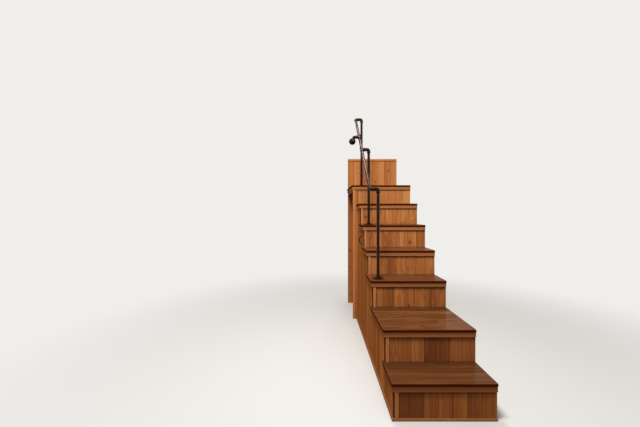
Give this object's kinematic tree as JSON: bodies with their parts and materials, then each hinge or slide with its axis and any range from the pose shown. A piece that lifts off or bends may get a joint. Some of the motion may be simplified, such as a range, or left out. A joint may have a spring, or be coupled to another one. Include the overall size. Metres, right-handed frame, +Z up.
{
  "type": "storage stair with pipe handrail",
  "caption": "Boarded storage stair up to a loft, with a landing, a cabinet door on pivot hinges, an open appliance bay and a black iron pipe handrail.",
  "frame": {"origin": "centre of the overall box, on the floor that the stair stands on", "axes": "+Y up the flight, from the foot towards the back panel; +X towards the room wall that the stair stands against; +Z up"},
  "size_m": [0.707, 2.39, 2.3482],
  "materials": {
    "stained_treads": "satin varnish over dark stain",
    "pale_trim": "satin varnish",
    "cedar_boards": "satin varnish",
    "plywood": "bare",
    "black_iron": "oiled black"
  },
  "bodies": {
    "stair": {"tread_1": "stained_treads", "tread_2": "stained_treads", "tread_3": "stained_treads", "tread_4": "stained_treads", "tread_5": "stained_treads", "tread_6": "stained_treads", "landing_deck": "stained_treads", "nosing_trims": "pale_trim", "riser_1": "cedar_boards", "riser_2": "cedar_boards", "riser_3": "cedar_boards", "riser_4": "cedar_boards", "riser_5": "cedar_boards", "riser_6": "cedar_boards", "riser_7": "cedar_boards", "corner_strips": "pale_trim", "side_panel_1": "cedar_boards", "side_panel_2": "cedar_boards", "side_panel_3": "cedar_boards", "side_panel_4": "cedar_boards", "cabinet_side": "cedar_boards", "hinge_frame_leaves": "black_iron", "base_panel": "plywood", "wall_panel": "plywood", "partitions": "plywood", "cabinet_partition": "plywood", "bay_front_panel": "plywood", "bay_stile": "cedar_boards", "bay_header": "cedar_boards", "back_panel": "cedar_boards", "back_cap": "pale_trim", "base_shoe": "pale_trim", "floor_flanges": "black_iron", "post_1": "black_iron", "post_2": "black_iron", "post_3": "black_iron", "post_elbows": "black_iron", "nipples": "black_iron", "rail_elbows": "black_iron", "rail_tee": "black_iron", "rail_lower": "black_iron", "rail_middle": "black_iron", "rail_upper": "black_iron", "bracket_tee": "black_iron", "bracket_elbow": "black_iron", "bracket_pipe": "black_iron", "bracket_flange": "black_iron"},
    "door": {"cabinet_door": "cedar_boards", "hinge_door_leaves": "black_iron", "door_pull": "black_iron"}
  },
  "joints": [
    {"name": "door_hinge", "type": "hinge", "parent": "stair", "child": "door", "pos_m": [-0.2455, 0.488, 0.53], "axis": [0, 0, -1], "range_deg": [0, 110]}
  ]
}
